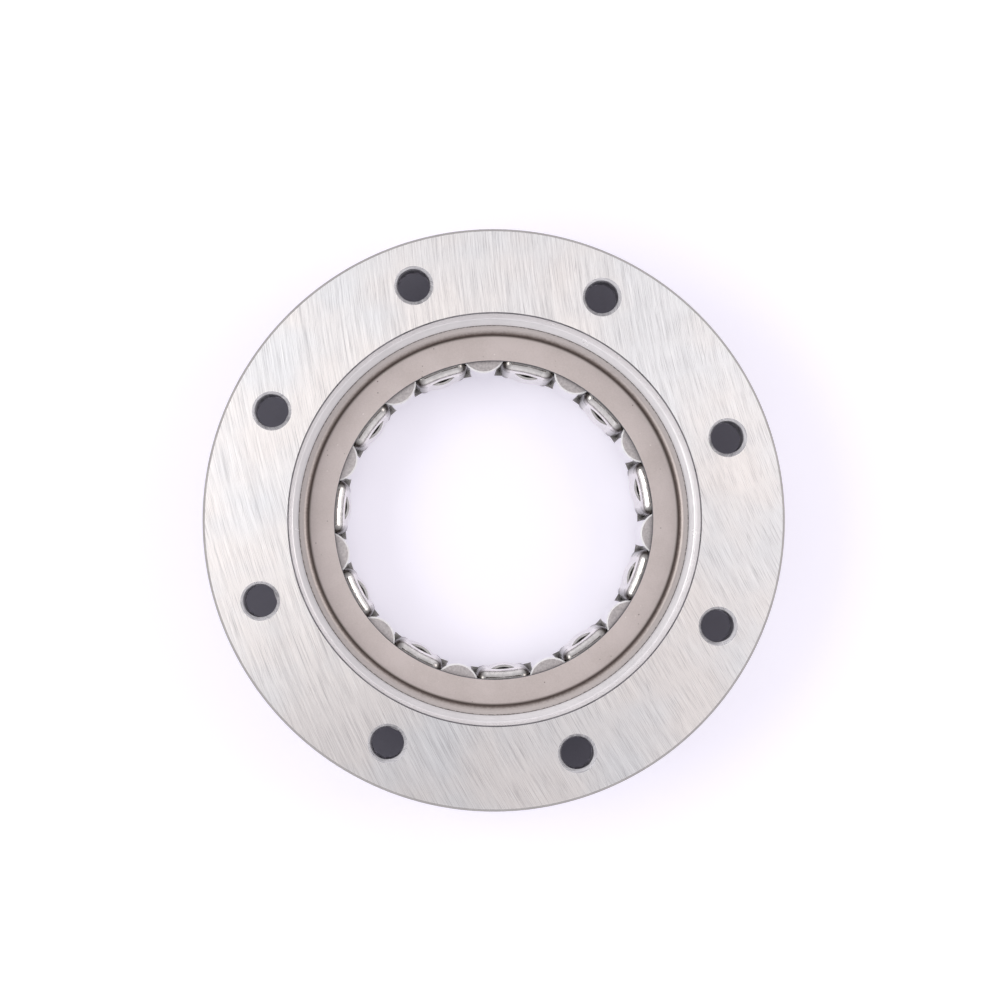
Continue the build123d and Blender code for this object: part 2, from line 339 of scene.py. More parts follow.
def peenedSteel():
    look = peenedLook
    material, tree, shader, place = newMaterial("peened steel lip", {"Metallic": look["metallic"]})
    grit = addNode(tree, "TexNoise", {"Scale": 1 / (look["gritSize"] * mm), "Detail": 5.0, "Roughness": 0.7},
                   {"Vector": place}).outputs[0]
    limits = {"To Min": -look["waver"] * mm, "To Max": look["waver"] * mm}
    waver = addNode(tree, "MapRange", {**noiseSpan, **limits}, {"Value": grit}).outputs[0]
    wavy = addNode(tree, "Math", links={0: axisDistance(tree, place), 1: waver}, operation="ADD").outputs[0]
    band = {"From Min": look["innerRadius"] * mm, "From Max": look["outerRadius"] * mm}
    across = addNode(tree, "MapRange", band, {"Value": wavy}).outputs[0]
    tone = addNode(tree, "ValToRGB", links={"Fac": across})
    stops, ramp = look["stops"], tone.color_ramp.elements
    for position, colour in stops[1:-1]:
        ramp.new(position).color = linearColour(colour)
    first, last = ramp[0], ramp[len(stops) - 1]
    first.color = linearColour(stops[0][1])
    last.position, last.color = stops[-1][0], linearColour(stops[-1][1])
    finishSurface(tree, shader, tone.outputs["Color"], grit, look["roughness"], grit, look["bumpHeight"])
    return material


# Phosphated steel: side plates dipped in a phosphate bath. The eye gets a dull tan film with fine grit, dark
# specks, pale flecks and a darker rim, dirt and painted shade in the crease under the lip. Sizes of spots
# are shares of their spacing, which is in mm.
darkSpecks = {"spacing": 1.1, "share": 0.12, "largest": 0.18, "strength": 1.4}
paleFlecks = {"spacing": 1.0, "share": 0.1, "largest": 0.2, "strength": 0.9}
phosphateLook = {
    # the rim colour and its radii: dirt and painted shade in the crease where the lip meets the plate
    "pale": "#cfc5c2", "dull": "#c0b6b2", "speck": "#675d59", "fleck": "#f1ebe8", "paintedShade": "#6a605b",
    "gritSize": 0.3, "cloudSize": 8.0, "paintedShadeFrom": 36.1, "paintedShadeTo": 36.6, "bumpHeight": 0.006,         # mm
    "cloudShare": 0.5, "dullAt": 0.34, "paleAt": 0.6, "smallest": 0.4,     # smallest spot, of the largest
    "metallic": 0.2, "roughness": (0.48, 0.66),
}


def scatteredSpots(tree, place, spots, smallest):
    # round spots in a share of random cells: the given strength where a cell's random number is below the
    # share and its centre is near
    cells = addNode(tree, "TexVoronoi", {"Scale": 1 / (spots["spacing"] * mm), "Randomness": 1.0},
                    {"Vector": place})
    lot = addNode(tree, "SeparateColor", links={0: cells.outputs["Color"]})
    picked = addNode(tree, "Math", {1: spots["share"]}, {0: lot.outputs[0]}, operation="LESS_THAN")
    size = addNode(tree, "MapRange", {"To Min": spots["largest"] * smallest, "To Max": spots["largest"]},
                   {"Value": lot.outputs[1]})
    near = addNode(tree, "MapRange", {"From Max": 0.0, "To Min": 0.0, "To Max": spots["strength"]},
                   {"Value": cells.outputs["Distance"], "From Min": size.outputs[0]})
    return addNode(tree, "Math", links={0: picked.outputs[0], 1: near.outputs[0]},
                   operation="MULTIPLY").outputs[0]


def phosphatedSteel():
    look = phosphateLook
    material, tree, shader, place = newMaterial("phosphated steel", {"Metallic": look["metallic"]})
    grit = addNode(tree, "TexNoise", {"Scale": 1 / (look["gritSize"] * mm), "Detail": 4.0, "Roughness": 0.7},
                   {"Vector": place}).outputs[0]
    cloud = addNode(tree, "TexNoise", {"Scale": 1 / (look["cloudSize"] * mm), "Detail": 4.0},
                    {"Vector": place}).outputs[0]
    both = addNode(tree, "Mix", {"Factor": look["cloudShare"]}, {2: grit, 3: cloud},
                   data_type="FLOAT").outputs[0]
    shade = addNode(tree, "MapRange", {"From Min": look["dullAt"], "From Max": look["paleAt"]},
                    {"Value": both})
    tone = addNode(tree, "Mix", {6: linearColour(look["dull"]), 7: linearColour(look["pale"])},
                   {0: shade.outputs[0]}, data_type="RGBA")
    flecks = scatteredSpots(tree, place, paleFlecks, look["smallest"])
    specks = scatteredSpots(tree, place, darkSpecks, look["smallest"])
    # darker towards the rim: dirt and painted shade in the crease under the lip
    rim = {"From Min": look["paintedShadeFrom"] * mm, "From Max": look["paintedShadeTo"] * mm}
    rimPaintedShade = addNode(tree, "MapRange", rim, {"Value": axisDistance(tree, place)},
                       interpolation_type="SMOOTHSTEP").outputs[0]
    for colour, share in (("fleck", flecks), ("speck", specks), ("paintedShade", rimPaintedShade)):
        tone = addNode(tree, "Mix", {7: linearColour(look[colour])}, {0: share, 6: tone.outputs[2]},
                       data_type="RGBA", clamp_factor=True)
    finishSurface(tree, shader, tone.outputs[2], grit, look["roughness"], both, look["bumpHeight"])
    return material


# Bright steel: pressed, ground, lapped or drawn, so the eye gets clean metal with a light cloud of handling
# marks, rougher and smoother by these shares
brightLook = {"darkAt": 0.35, "paleAt": 0.62, "smoother": 0.85, "rougher": 1.2}


def brightSteel(name, pale, dark, roughness, grainSize, bumpHeight, metallic=1.0, paintedShade=None):
    # the last argument: colour of the painted shade in the corners, laid on by the mesh's own attribute of
    # that name
    look = brightLook
    material, tree, shader, place = newMaterial(name, {"Metallic": metallic})
    grain = addNode(tree, "TexNoise", {"Scale": 1 / (grainSize * mm), "Detail": 4.0, "Roughness": 0.6},
                    {"Vector": place}).outputs[0]
    shade = addNode(tree, "MapRange", {"From Min": look["darkAt"], "From Max": look["paleAt"]},
                    {"Value": grain})
    tone = addNode(tree, "Mix", {6: linearColour(dark), 7: linearColour(pale)}, {0: shade.outputs[0]},
                   data_type="RGBA")
    # painted shade, laid on where the mesh's attribute asks for it
    if paintedShade:
        paintedShading = addNode(tree, "Attribute", attribute_name="paintedShade")
        tone = addNode(tree, "Mix", {7: linearColour(paintedShade)}, {0: paintedShading.outputs["Fac"], 6: tone.outputs[2]},
                       data_type="RGBA")
    limits = (roughness * look["smoother"], roughness * look["rougher"])
    finishSurface(tree, shader, tone.outputs[2], grain, limits, grain, bumpHeight)
    return material


# Ring pitch, grain size and bump height are in mm. Metallic below 1 mixes in a diffuse part that the lamps
# light up.
flangeSteel = groundSteel()
recessSteel = turnedSteel("bored steel", pale="#fbf9fa", dark="#f2f0f1", roughness=0.22, ringPitch=0.25,
                          bumpHeight=0.0006, metallic=0.35)        # fine-bored wall, near-white and partly diffuse so that the lamps light it, standing in for its bright reflection
rimSteel = turnedSteel("turned rim steel", pale="#b2b0ab", dark="#9c9a95", roughness=0.4, ringPitch=0.25,
                       bumpHeight=0.001)                           # a grey outline round the face
barrelSteel = turnedSteel("turned barrel steel", pale="#dad8da", dark="#c4c2c5", roughness=0.34,
                          ringPitch=0.22, bumpHeight=0.003)        # tool feed shows as soft bands of light
edgeSteel = turnedSteel("bore edge with painted shade", pale="#8d8b8e", dark="#4b494c", roughness=0.3, ringPitch=0.6,
                        bumpHeight=0.001)                          # a dark line painted on the chamfer for its shade and dark reflection
lipSteel = peenedSteel()
mouthSteel = turnedSteel("countersunk steel", pale="#e6e5e7", dark="#a9a8ac", roughness=0.25,
                         ringPitch=0.35, bumpHeight=0.002, metallic=0.5)      # a bright cone round each hole
boreSteel = turnedSteel("tapped bore steel", pale="#97969b", dark="#77767c", roughness=0.4, ringPitch=0.3,
                        bumpHeight=0.003)                          # shaded flanks of the thread
plateSteel = phosphatedSteel()
cageSteel = brightSteel("pressed sheet steel", pale="#f0edeb", dark="#dcd9d7", roughness=0.24, grainSize=1.5,
                        bumpHeight=0.0003, paintedShade="#46413d")        # bright bends, painted shade in the corners and on the ring
rollerSteel = brightSteel("lapped bearing steel", pale="#f2f1f2", dark="#e4e3e5", roughness=0.08,
                          grainSize=1.0, bumpHeight=0.0001)        # nearly a mirror
rollerRimSteel = brightSteel("bearing steel with painted highlight", pale="#ffffff", dark="#f4f3f3", roughness=0.3,
                             grainSize=1.0, bumpHeight=0.0001, metallic=0.1)      # painted highlight: a near-white, barely metallic line at each end
rollerEndSteel = brightSteel("ground bearing steel", pale="#e2dcdb", dark="#cdc7c6", roughness=0.36,
                             grainSize=0.4, bumpHeight=0.001)      # dull grey ends
raceSteel = brightSteel("hardened race steel", pale="#b5b2b0", dark="#999694", roughness=0.35, grainSize=0.8,
                        bumpHeight=0.002)                          # dark grey from heat treatment
stripSteel = brightSteel("spring strip steel", pale="#8d8a88", dark="#6c6967", roughness=0.35, grainSize=0.6,
                         bumpHeight=0.001)                         # darker grey, tempered
print("materials ready")


# Flange housing: flange with tapped holes, recess, rolled lip and barrel, all one piece
flangeHousing = {
    "holeCount": 8, "firstHoleDegrees": 19.3, "holeCircle": 48.0, "boreRadius": 3.1, "mouthRadius": 3.8,
    "threadPitch": 1.0, "threadDepth": 0.4, "threadSlope": 1.15, "threadLand": 0.1, "rimChamfer": 0.5,
    "recessRadius": 39.95, "recessEdge": 0.25, "recessDepth": 6.5, "floorFillet": 0.4, "moatDepth": 0.3,
    "lipRadius": 38.5, "lipBore": 36.6, "lipThickness": 1.2, "lipRound": 1.1, "raceBore": 41.51,
    "grooveRadius": 42.51, "grooveTop": 1.9, "grooveBottom": 0.8, "mouthChamfer": 0.5,
    "barrelRadius": 44.0, "barrelChamfer": 0.8, "rootFillet": 1.5, "flangeThickness": 6.0,
    "arcSteps": 36, "sideSteps": 8, "filletSteps": 9,
    "rowStep": 0.05, "fineRowsTo": 1.6, "coarseRowStep": 0.1, "lastRows": 8,      # rows down a hole's wall
    "faceRows": [0, 0.06, 0.2, 0.45, 0.7, 1.0],      # shares of the way from hole to outline
}
housingFinishes = {
    "face": flangeSteel, "recess": recessSteel, "lip": lipSteel, "bore": boreSteel, "barrel": barrelSteel,
    "rim": rimSteel, "edge": edgeSteel, "mouth": mouthSteel,
}


def holedFace(size, z, innerRadius, outerRadius, centreDegrees):
    # one sector of a flange face: rows blend the hole's circle into the sector's outline,
    # point = (1 - s) * circle + s * outline, with the same direction from the hole's centre
    half = math.pi / size["holeCount"]
    sweep = np.linspace(-half, half, size["arcSteps"] + 1)
    side = np.linspace(0, 1, size["sideSteps"] + 1)[1:-1]
    outer = np.stack([outerRadius * np.cos(sweep), outerRadius * np.sin(sweep)], axis=1)
    inner = np.stack([innerRadius * np.cos(-sweep), innerRadius * np.sin(-sweep)], axis=1)
    upper = outer[-1] + side[:, None] * (inner[0] - outer[-1])
    lower = inner[-1] + side[:, None] * (outer[0] - inner[-1])
    outline = np.concatenate([outer, upper, inner, lower])
    centre = np.array([size["holeCircle"], 0.0])
    direction = outline - centre
    direction /= np.linalg.norm(direction, axis=1)[:, None]
    circle = centre + size["mouthRadius"] * direction
    share = np.array(size["faceRows"])[:, None, None]
    flat = (1 - share) * circle[None] + share * outline[None]
    x, y = turnedBy(flat[..., 0], flat[..., 1], centreDegrees)
    return np.stack([x, y, np.full_like(x, z)], axis=2), np.arctan2(direction[:, 1], direction[:, 0])


def tappedHole(size, topZ, bottomZ, centreDegrees, directions):
    # wall of one hole: radius = the larger of the countersink's cone and a helical V thread, where
    # thread radius = bore + depth * (slope * |2 * fraction(z / pitch + turn) - 1| - land), at least the bore
    length = topZ - bottomZ
    countersink = size["mouthRadius"] - size["boreRadius"]
    fine = np.arange(0, size["fineRowsTo"], size["rowStep"])
    coarse = np.arange(size["fineRowsTo"], length - countersink, size["coarseRowStep"])
    last = length - np.linspace(countersink, 0, size["lastRows"])
    depth = np.concatenate([fine, coarse, last])[:, None]
    phase = depth / size["threadPitch"] + (directions[None] + math.radians(centreDegrees)) / (2 * math.pi)
    ridge = np.abs(2 * (phase - np.floor(phase)) - 1)
    rise = np.clip(size["threadSlope"] * ridge - size["threadLand"], 0, 1)
    thread = size["boreRadius"] + size["threadDepth"] * rise
    cone = size["mouthRadius"] - np.minimum(depth, length - depth)
    radius = np.maximum(cone, thread)
    x, y = turnedBy(size["holeCircle"] + radius * np.cos(directions), radius * np.sin(directions),
                    centreDegrees)
    return np.stack([x, y, topZ - depth + 0 * x], axis=2)


def holeSector(size, topZ, flangeZ, topEdges, lowerEdges, degrees):
    # upper and lower face of one sector, countersink, thread, and a strip that joins it to the lower mouth
    top, directions = holedFace(size, topZ, *topEdges, degrees)
    bottom, lowerDirections = holedFace(size, flangeZ, *lowerEdges, degrees)
    wall = tappedHole(size, topZ, flangeZ, degrees, directions)
    mouthRows = 1 + int(round((size["mouthRadius"] - size["boreRadius"]) / size["rowStep"]))
    x, y = turnedBy(size["holeCircle"] + size["mouthRadius"] * np.cos(lowerDirections),
                    size["mouthRadius"] * np.sin(lowerDirections), degrees)
    lowerMouth = np.stack([x, y, np.full_like(x, flangeZ)], axis=1)
    return [(top, "face"), (bottom, "barrel"), (wall[:mouthRows], "mouth"), (wall[mouthRows - 1:-1], "bore"),
            (np.stack([wall[-2], lowerMouth]), "bore")]


def makeFlangeHousing(size):
    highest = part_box("flange_housing")[1]
    outerRadius, topZ = highest.x / mm, highest.z / mm
    flangeZ = topZ - size["flangeThickness"]
    floorZ = topZ - size["recessDepth"]
    moatZ = floorZ - size["moatDepth"]
    lipZ = floorZ - size["lipThickness"]
    innerEdge = size["recessRadius"] + size["recessEdge"]
    outerEdge = outerRadius - size["rimChamfer"]
    rootEdge = size["barrelRadius"] + size["rootFillet"]
    fillet, lipRound, steps = size["floorFillet"], size["lipRound"], size["filletSteps"]
    profiles = {
        "recess": joinedProfile(
            (size["recessRadius"], topZ - size["recessEdge"]),
            arcPoints(size["recessRadius"] - fillet, moatZ + fillet, fillet, 0, -90, steps),
            (size["lipRadius"], moatZ), (size["lipRadius"], floorZ)),
        "lip": joinedProfile(
            (size["lipRadius"], floorZ),
            arcPoints(size["lipBore"] + lipRound, floorZ - lipRound, lipRound, 90, 180, steps),
            (size["lipBore"], lipZ), (size["raceBore"], lipZ)),
        "barrel": joinedProfile(
            (size["raceBore"], lipZ), (size["raceBore"], size["grooveTop"]),
            (size["grooveRadius"], size["grooveTop"]), (size["grooveRadius"], size["grooveBottom"]),
            (size["raceBore"], size["grooveBottom"]), (size["raceBore"], size["mouthChamfer"]),
            (size["raceBore"] + size["mouthChamfer"], 0), (size["barrelRadius"] - size["barrelChamfer"], 0),
            (size["barrelRadius"], size["barrelChamfer"]),
            arcPoints(rootEdge, flangeZ - size["rootFillet"], size["rootFillet"], 180, 90, steps)),
        "rim": joinedProfile(
            (outerEdge, flangeZ), (outerRadius, flangeZ + size["rimChamfer"]),
            (outerRadius, topZ - size["rimChamfer"]), (outerEdge, topZ)),
        # the recess mouth's chamfer, in the dark edge finish: painted shade
        "edge": joinedProfile((innerEdge, topZ), (size["recessRadius"], topZ - size["recessEdge"])),
    }
    sector = 360 / size["holeCount"]
    angles = roundAngles(size["holeCount"] * size["arcSteps"], size["firstHoleDegrees"] - sector / 2)
    parts = [(revolved(profile, angles), finish) for finish, profile in profiles.items()]
    for hole in range(size["holeCount"]):
        parts += holeSector(size, topZ, flangeZ, (innerEdge, outerEdge), (rootEdge, outerEdge),
                            size["firstHoleDegrees"] + hole * sector)
    piece = buildPiece("flangeHousing", parts, housingFinishes, "housing")
    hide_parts("flange_housing")


makeFlangeHousing(flangeHousing)
print("flange housing done")


# Side plates: flat rings with a small chamfer round the bore
sidePlate = {"bore": 31.5, "edge": 0.12, "steps": 360}
# the bore's chamfer takes the dark edge finish: a painted shadow line where the plate meets the pillars
plateFinishes = {"flat": plateSteel, "edge": edgeSteel}


def makeSidePlate(node, name, size):
    lowest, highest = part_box(node)
    outer, low, high = highest.x / mm, lowest.z / mm, highest.z / mm
    bore, edge = size["bore"], size["edge"]
    inside = joinedProfile((bore + edge, high), (bore, high - edge), (bore, low + edge), (bore + edge, low))
    rest = joinedProfile((bore + edge, low), (outer, low), (outer, high), (bore + edge, high))
    angles = roundAngles(size["steps"])
    piece = buildPiece(name, [(revolved(inside, angles), "edge"), (revolved(rest, angles), "flat")],
                       plateFinishes, "housing")
    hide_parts(node)


makeSidePlate("upper_side_plate", "upperSidePlate", sidePlate)
makeSidePlate("lower_side_plate", "lowerSidePlate", sidePlate)
print("side plates done")


# Rollers: cylinders with chamfered rims, polished sides and dull ground ends
roller = {
    "count": 11, "radius": 4.5, "chamfer": 0.3, "steps": 96, "endRing": 2.25, "pole": 0.001, "weld": 0.002,
}
rollerFinishes = {"side": rollerSteel, "end": rollerEndSteel, "rim": rollerRimSteel}


def makeRoller(index, size):
    # each end closes to a pole so small that its points weld into one
    node = f"roller_{index + 1:02d}"
    lowest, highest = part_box(node)
    low, high = lowest.z / mm, highest.z / mm
    x, y = (lowest.x + highest.x) / 2 / mm, (lowest.y + highest.y) / 2 / mm
    radius, chamfer = size["radius"], size["chamfer"]
    inner = radius - chamfer
    profiles = (
        (joinedProfile((inner, low), (radius, low + chamfer), (radius, high - chamfer)), "side"),
        (joinedProfile((radius, high - chamfer), (inner, high)), "rim"),
        (joinedProfile((inner, high), (size["endRing"], high), (size["pole"], high)), "end"),
        (joinedProfile((inner, low), (size["endRing"], low), (size["pole"], low)), "end"),
    )
    angles = roundAngles(size["steps"])
    parts = [(revolved(profile, angles) + (x, y, 0), finish) for profile, finish in profiles]
    piece = buildPiece(f"roller{index + 1:02d}", parts, rollerFinishes, node, size["weld"])
    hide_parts(node)


for index in range(roller["count"]):
    makeRoller(index, roller)
print("rollers done")


# Roller cage: a narrow ring that carries one bent-sheet pillar between each two rollers
cagePressing = {
    "count": 11, "firstDegrees": 28.1 - 180 / 11, "sheet": 0.45, "inner": 30.05, "outer": 36.6,
    "halfWidth": 4.97, "bend": 1.4, "bendSteps": 9, "sideSteps": 10, "frontSteps": 44,
    "ringWidth": 1.75, "ringHeight": 0.7, "ringSteps": 440,
    "bridgeReach": 29.3, "bridgeTopRadius": 4.0, "bridgeBottomRadius": 6.5, "bridgeTopDrop": 2.0,
    "slit": 0.5, "bridgeHeight": 9.0, "bridgeSteps": 14,
    "proud": 0.6,      # square mm by which radius squared differs where the bridge leaves the front
}
# Painted shade on the cage: where the pillars' sides, their tops near the plate and the ring darken
cagePaintedShade = {      # mm, and a least share on the ring
    "sideFrom": 3.3, "sideWidth": 1.3, "topFrom": 31.2, "topWidth": 0.8, "ringFrom": 30.3, "ringWidth": 1.2,
    "ringLeast": 0.3,
}


def pillarPath(size, inset):
    # half of a pillar's plan, offset inwards by inset: y = -(halfWidth - inset) along its side, a corner arc
    # of radius bend - inset about a fixed centre, then the front arc of radius inner + inset up to y = 0
    half, bend = size["halfWidth"], size["bend"]
    cornerY = -(half - bend)
    cornerX = math.sqrt((size["inner"] + bend) ** 2 - cornerY ** 2)
    sideY = -(half - inset)
    backX = math.sqrt(size["outer"] ** 2 - half ** 2)
    side = np.stack([np.linspace(backX, cornerX, size["sideSteps"], endpoint=False),
                     np.full(size["sideSteps"], sideY)], axis=1)
    lean = math.degrees(math.atan2(cornerY, cornerX))
    corner = arcPoints(cornerX, cornerY, bend - inset, -90, lean - 180, size["bendSteps"])
    front = arcPoints(0, 0, size["inner"] + inset, lean, 0, size["frontSteps"] // 2 + 1)
    return np.concatenate([side, corner[:-1], front])


def bridgeReach(size, y, share):
    # how far the bridge stands in at each y: x = centre - sqrt(radius^2 - y^2), share of the way up it
    radius = size["bridgeBottomRadius"] * (1 - share) + size["bridgeTopRadius"] * share
    return size["bridgeReach"] + radius - np.sqrt(np.clip(radius ** 2 - y ** 2, 0, None))


def pillarSkin(size, low, high):
    # outer skin of the pillar at angle 0 as points and quads, open where the bridge's slits are cut
    bend = size["bend"]
    quarter = np.radians(np.linspace(0, 90, size["bendSteps"]))
    bridgeTop = high - size["bridgeTopDrop"]
    bridgeBottom = bridgeTop - size["bridgeHeight"]
    bridgeRows = np.linspace(bridgeBottom, bridgeTop, size["bridgeSteps"])
    heights = np.concatenate([[low, bridgeBottom - size["slit"]], bridgeRows, [bridgeTop + size["slit"]],
                              high - bend + bend * np.sin(quarter)])
    insets = np.concatenate([np.zeros(len(heights) - len(quarter)), bend - bend * np.cos(quarter)])
    rows = []
    for height, inset in zip(heights, insets):
        half = pillarPath(size, inset)
        path = np.concatenate([half, half[-2::-1] * (1, -1)])
        if bridgeBottom <= height <= bridgeTop:
            share = (height - bridgeBottom) / size["bridgeHeight"]
            path[:, 0] = np.minimum(path[:, 0], bridgeReach(size, path[:, 1], share))
        rows.append(np.column_stack([path, np.full(len(path), height)]))
    skin = np.stack(rows)
    proud = np.abs(skin[..., 0] ** 2 + skin[..., 1] ** 2 - size["inner"] ** 2) > size["proud"]
    proud &= skin[..., 0] < size["inner"]
    faces = gridFaces(skin.shape[0], skin.shape[1], False)
    cut = np.zeros((skin.shape[0] - 1, skin.shape[1] - 1), bool)
    cut[1] = proud[2, :-1] | proud[2, 1:]                  # slit below the bridge's first row
    last = 1 + size["bridgeSteps"]
    cut[last] = proud[last, :-1] | proud[last, 1:]         # slit above its last row
    rim = skin[-1]
    middle = len(rim) // 2
    roof = np.stack([rim[:middle + 1], rim[::-1][:middle + 1]], axis=1)
    roofFaces = gridFaces(roof.shape[0], 2, False, skin.shape[0] * skin.shape[1])[:, ::-1]
    points = np.concatenate([skin.reshape(-1, 3), roof.reshape(-1, 3)])
    return points, np.concatenate([faces[~cut.ravel()], roofFaces])


def triangles(quads):
    return np.concatenate([quads[:, [0, 1, 2]], quads[:, [0, 2, 3]]])


def unitRows(vectors):
    # each row divided by its length, or by a tiny length where it has none
    return vectors / np.maximum(np.linalg.norm(vectors, axis=1), 1e-9)[:, None]


def thickened(points, faces, thickness):
    # a closed sheet: the skin, the skin moved inwards by thickness along its normals, and strips that join
    # the two along the open edges; points that agree to four decimals of a millimetre are one
    _, first, merged = np.unique(np.round(points, 4), axis=0, return_index=True, return_inverse=True)
    points = points[first]
    faces = triangles(merged.ravel()[faces])
    a, b, c = faces.T
    faces = faces[(a != b) & (b != c) & (c != a)]
    a, b, c = faces.T
    across = unitRows(np.cross(points[b] - points[a], points[c] - points[a]))
    normals = np.zeros_like(points)
    for corner in (a, b, c):
        np.add.at(normals, corner, across)
    inside = points - unitRows(normals) * thickness
    edges = np.concatenate([faces[:, [corner, (corner + 1) % 3]] for corner in range(3)])
    _, which, uses = np.unique(np.sort(edges, axis=1), axis=0, return_inverse=True, return_counts=True)
    start, end = edges[uses[which.ravel()] == 1].T
    count = len(points)
    strips = np.concatenate([np.stack([end, start, start + count], axis=1),
                             np.stack([end, start + count, end + count], axis=1)])
    return np.concatenate([points, inside]), np.concatenate([faces, faces[:, ::-1] + count, strips])


def cageRing(size, low):
    # the flat ring under the pillars: a rectangle carried round the axis, as points and triangles
    outer, top = size["inner"] + size["ringWidth"], low + size["ringHeight"]
    profile = joinedProfile((size["inner"], low), (outer, low), (outer, top), (size["inner"], top),
                            (size["inner"], low))
    grid = revolved(profile, roundAngles(size["ringSteps"]))
    return grid.reshape(-1, 3), triangles(gridFaces(len(profile), size["ringSteps"], True))


def paintedShadingShare(values, start, width):
    # 0 up to start, 1 past start + width, and even between
    return np.clip((values - start) / width, 0, 1)


def makeRollerCage(size, paintedShading):
    # painted shade darkens the pillars' sides, their tops near the plate, and the ring, most towards its
    # outer edge
    lowest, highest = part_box("roller_cage")
    low, high = lowest.z / mm, highest.z / mm
    pillar, pillarFaces = thickened(*pillarSkin(size, low, high), size["sheet"])
    topRadii = np.linalg.norm(pillar[:, :2], axis=1) * (pillar[:, 2] > high - 2 * size["sheet"])
    pillarPaintedShade = np.maximum(paintedShadingShare(np.abs(pillar[:, 1]), paintedShading["sideFrom"], paintedShading["sideWidth"]),
                             paintedShadingShare(topRadii, paintedShading["topFrom"], paintedShading["topWidth"]))
    ring, ringFaces = cageRing(size, low)
    ringPaintedShade = paintedShadingShare(np.linalg.norm(ring[:, :2], axis=1), paintedShading["ringFrom"], paintedShading["ringWidth"])
    points, faces, paintedShade = [ring], [ringFaces], [np.maximum(ringPaintedShade, paintedShading["ringLeast"])]
    for index in range(size["count"]):
        x, y = turnedBy(pillar[:, 0], pillar[:, 1], size["firstDegrees"] + index * 360 / size["count"])
        faces.append(pillarFaces + sum(len(some) for some in points))
        points.append(np.column_stack([x, y, pillar[:, 2]]))
        paintedShade.append(pillarPaintedShade)
    faces = np.concatenate(faces)
    piece = meshPiece("rollerCage", np.concatenate(points), faces, np.zeros(len(faces)), [cageSteel],
                      "cage", paintedShade=np.concatenate(paintedShade))
    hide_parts("roller_cage")


makeRollerCage(cagePressing, cagePaintedShade)
print("roller cage done")


# Race, snap ring and springs: copies of the CAD shapes with welded seams, so bends shade smoothly
smoothing = {"weld": 0.002, "sharpDegrees": 38}      # mm, degrees
springSeat = {
    "radius": 34.0, "farEnd": 4.47, "clearance": 0.025,      # mm
    "shortened": 0.8,                                        # share of its length
}


def smoothCopy(node, name, material, size):
    source = frame["nodes"][node]
    mesh = source.data.copy()
    mesh.name = name
    mesh.transform(source.matrix_world)
    editable = bmesh.new()
    editable.from_mesh(mesh)
    bmesh.ops.remove_doubles(editable, verts=editable.verts, dist=size["weld"] * mm)
    bmesh.ops.recalc_face_normals(editable, faces=editable.faces)
    editable.to_mesh(mesh)
    editable.free()
    mesh.materials.clear()
    piece = placedPiece(name, mesh, [material], body_of(source)[0], size["sharpDegrees"])
    weighted = piece.modifiers.new("even shading", "WEIGHTED_NORMAL")
    weighted.keep_sharp = True
    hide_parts(node)
    return piece


def makeSpring(index, seat):
    # stands a little inside its CAD place, so that it clears the race's lug
    node, name = f"spring_{index + 1:02d}", f"spring{index + 1:02d}"
    spring = smoothCopy(node, name, stripSteel, smoothing)
    angle = math.radians(cagePressing["firstDegrees"] + index * 360 / cagePressing["count"])
    outward = Vector((math.cos(angle), math.sin(angle), 0))
    spring.data.transform(Matrix.Translation(outward * -seat["clearance"] * mm))
    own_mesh(spring)


smoothCopy("cam_race", "camRace", raceSteel, smoothing)
smoothCopy("snap_ring", "snapRing", stripSteel, smoothing)
for index in range(cagePressing["count"]):
    makeSpring(index, springSeat)
print("ground and folded pieces done")


# Table, room, softboxes and camera: places and sizes in mm, power in watts
table = {
    "half": 3000.0, "colour": "#d8d6dc", "roughness": 0.9, "specular": 0.1,
    "liftColour": "#f4f0ff", "lift": 0.5,
    "shadeStart": (38.0, 42.0), "shadeEdge": (55.0, 60.0), "shadeColour": "#605f67",      # painted shadow under the flange, in mm from the axis
}
room = {
    "colour": "#f8f6fa", "horizonStrength": 0.9, "zenithStrength": 0.54, "horizonAt": 0.45, "zenithAt": 0.95,
}
softboxes = {
    "left softbox": {
        "place": (-430, 10, 500), "width": 300, "height": 400, "power": 1.32, "colour": "#fffdfb"},
    "right softbox": {
        "place": (430, 90, 500), "width": 300, "height": 300, "power": 0.7, "colour": "#fff7f3"},
}
softboxTarget = (0, 0, 20)
view = {"place": (-12.2, -7.7, 376.5), "target": (0.865, 3.65, 25.5), "lens": 65.3, "sensor": 36, "near": 10}


def steppedAcross(tree, distance, limits, low, high):
    # a soft step from low to high between two distances from the axis
    span = {"From Min": limits[0] * mm, "From Max": limits[1] * mm, "To Min": low, "To Max": high}
    return addNode(tree, "MapRange", span, {"Value": distance}, interpolation_type="SMOOTHSTEP").outputs[0]


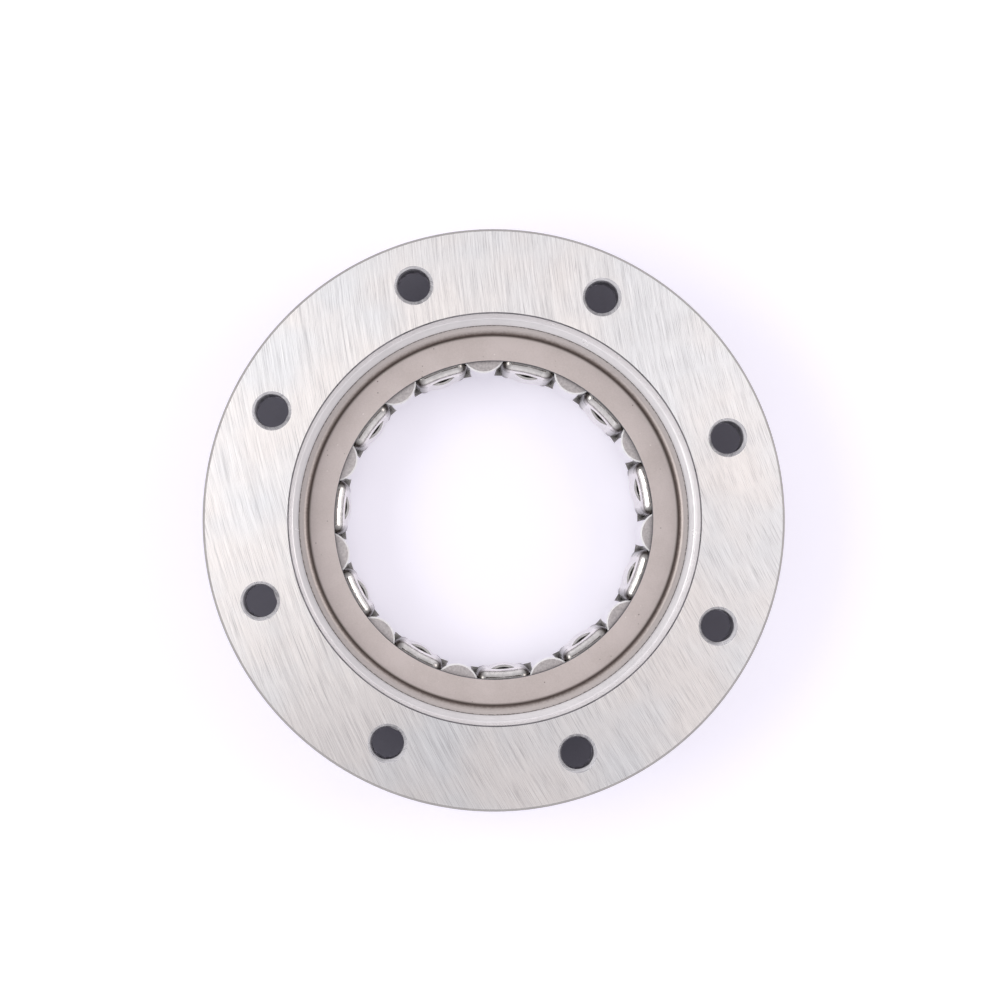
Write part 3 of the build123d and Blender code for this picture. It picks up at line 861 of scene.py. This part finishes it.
def makeTable(size):
    # matt white board: a lift brings what the camera and the gloss see to white, except in a darker ring of
    # painted shadow drawn into its colour under the flange
    material, tree, shader, place = newMaterial("matt white table", {
        "Roughness": size["roughness"], "Specular IOR Level": size["specular"],
        "Emission Color": linearColour(size["liftColour"])})
    distance = axisDistance(tree, place)
    outside = steppedAcross(tree, distance, size["shadeEdge"], 0.0, 1.0)
    inside = steppedAcross(tree, distance, size["shadeStart"], 1.0, 0.0)
    # the painted shadow ring: 0 between the two steps, 1 inside and outside them
    lit = addNode(tree, "Math", links={0: outside, 1: inside}, operation="MAXIMUM").outputs[0]
    tone = addNode(tree, "Mix", {6: linearColour(size["shadeColour"]), 7: linearColour(size["colour"])},
                   {0: lit}, data_type="RGBA")
    tree.links.new(tone.outputs[2], shader.inputs["Base Color"])
    path = addNode(tree, "LightPath")
    seen = addNode(tree, "Math", links={0: path.outputs["Is Camera Ray"], 1: path.outputs["Is Glossy Ray"]},
                   operation="MAXIMUM").outputs[0]
    lift = addNode(tree, "Math", {1: size["lift"]}, {0: seen}, operation="MULTIPLY").outputs[0]
    shown = addNode(tree, "Math", links={0: lift, 1: lit}, operation="MULTIPLY").outputs[0]
    tree.links.new(shown, shader.inputs["Emission Strength"])
    half = size["half"] * mm
    mesh = bpy.data.meshes.new("floor")
    corners = [(-half, -half, 0), (half, -half, 0), (half, half, 0), (-half, half, 0)]
    mesh.from_pydata(corners, [], [(0, 1, 2, 3)])
    mesh.materials.append(material)
    floor = bpy.data.objects.new("floor", mesh)
    bpy.context.scene.collection.objects.link(floor)


def makeRoom(size):
    # pale walls, darker overhead, and plain white where the camera sees them
    world = bpy.data.worlds.new("studio")
    world.use_nodes = True
    tree = world.node_tree
    background = tree.nodes["Background"]
    path = addNode(tree, "LightPath")
    direction = addNode(tree, "SeparateXYZ", links={0: addNode(tree, "TexCoord").outputs["Generated"]})
    span = {"From Min": size["horizonAt"], "From Max": size["zenithAt"],
            "To Min": size["horizonStrength"], "To Max": size["zenithStrength"]}
    glow = addNode(tree, "MapRange", span, {"Value": direction.outputs[2]}, interpolation_type="SMOOTHSTEP")
    strength = addNode(tree, "Mix", {3: 1.0}, {0: path.outputs["Is Camera Ray"], 2: glow.outputs[0]},
                       data_type="FLOAT")
    background.inputs["Color"].default_value = linearColour(size["colour"])
    tree.links.new(strength.outputs[0], background.inputs["Strength"])
    bpy.context.scene.world = world


def aimed(thing, place, target):
    # stands at place and looks at target, with +Y upwards in the view
    back = (Vector(place) - Vector(target)).normalized()
    right = Vector((0, 1, 0)).cross(back).normalized()
    turn = Matrix((right, back.cross(right), back)).transposed().to_4x4()
    bpy.context.scene.collection.objects.link(thing)
    thing.matrix_world = Matrix.Translation(Vector(place) * mm) @ turn


def makeSoftbox(name, box):
    lamp = bpy.data.lights.new(name, "AREA")
    lamp.shape = "RECTANGLE"
    lamp.size = box["width"] * mm
    lamp.size_y = box["height"] * mm
    lamp.energy = box["power"]
    lamp.color = linearColour(box["colour"])[:3]
    aimed(bpy.data.objects.new(name, lamp), box["place"], softboxTarget)


def makeCamera(size):
    lens = bpy.data.cameras.new("camera")
    lens.lens = size["lens"]
    lens.sensor_width = size["sensor"]
    lens.clip_start = size["near"] * mm
    camera = bpy.data.objects.new("camera", lens)
    aimed(camera, size["place"], size["target"])
    bpy.context.scene.camera = camera


makeTable(table)
makeRoom(room)
for name, box in softboxes.items():
    makeSoftbox(name, box)
makeCamera(view)
bpy.context.scene.view_settings.view_transform = "Standard"

print("studio ready")
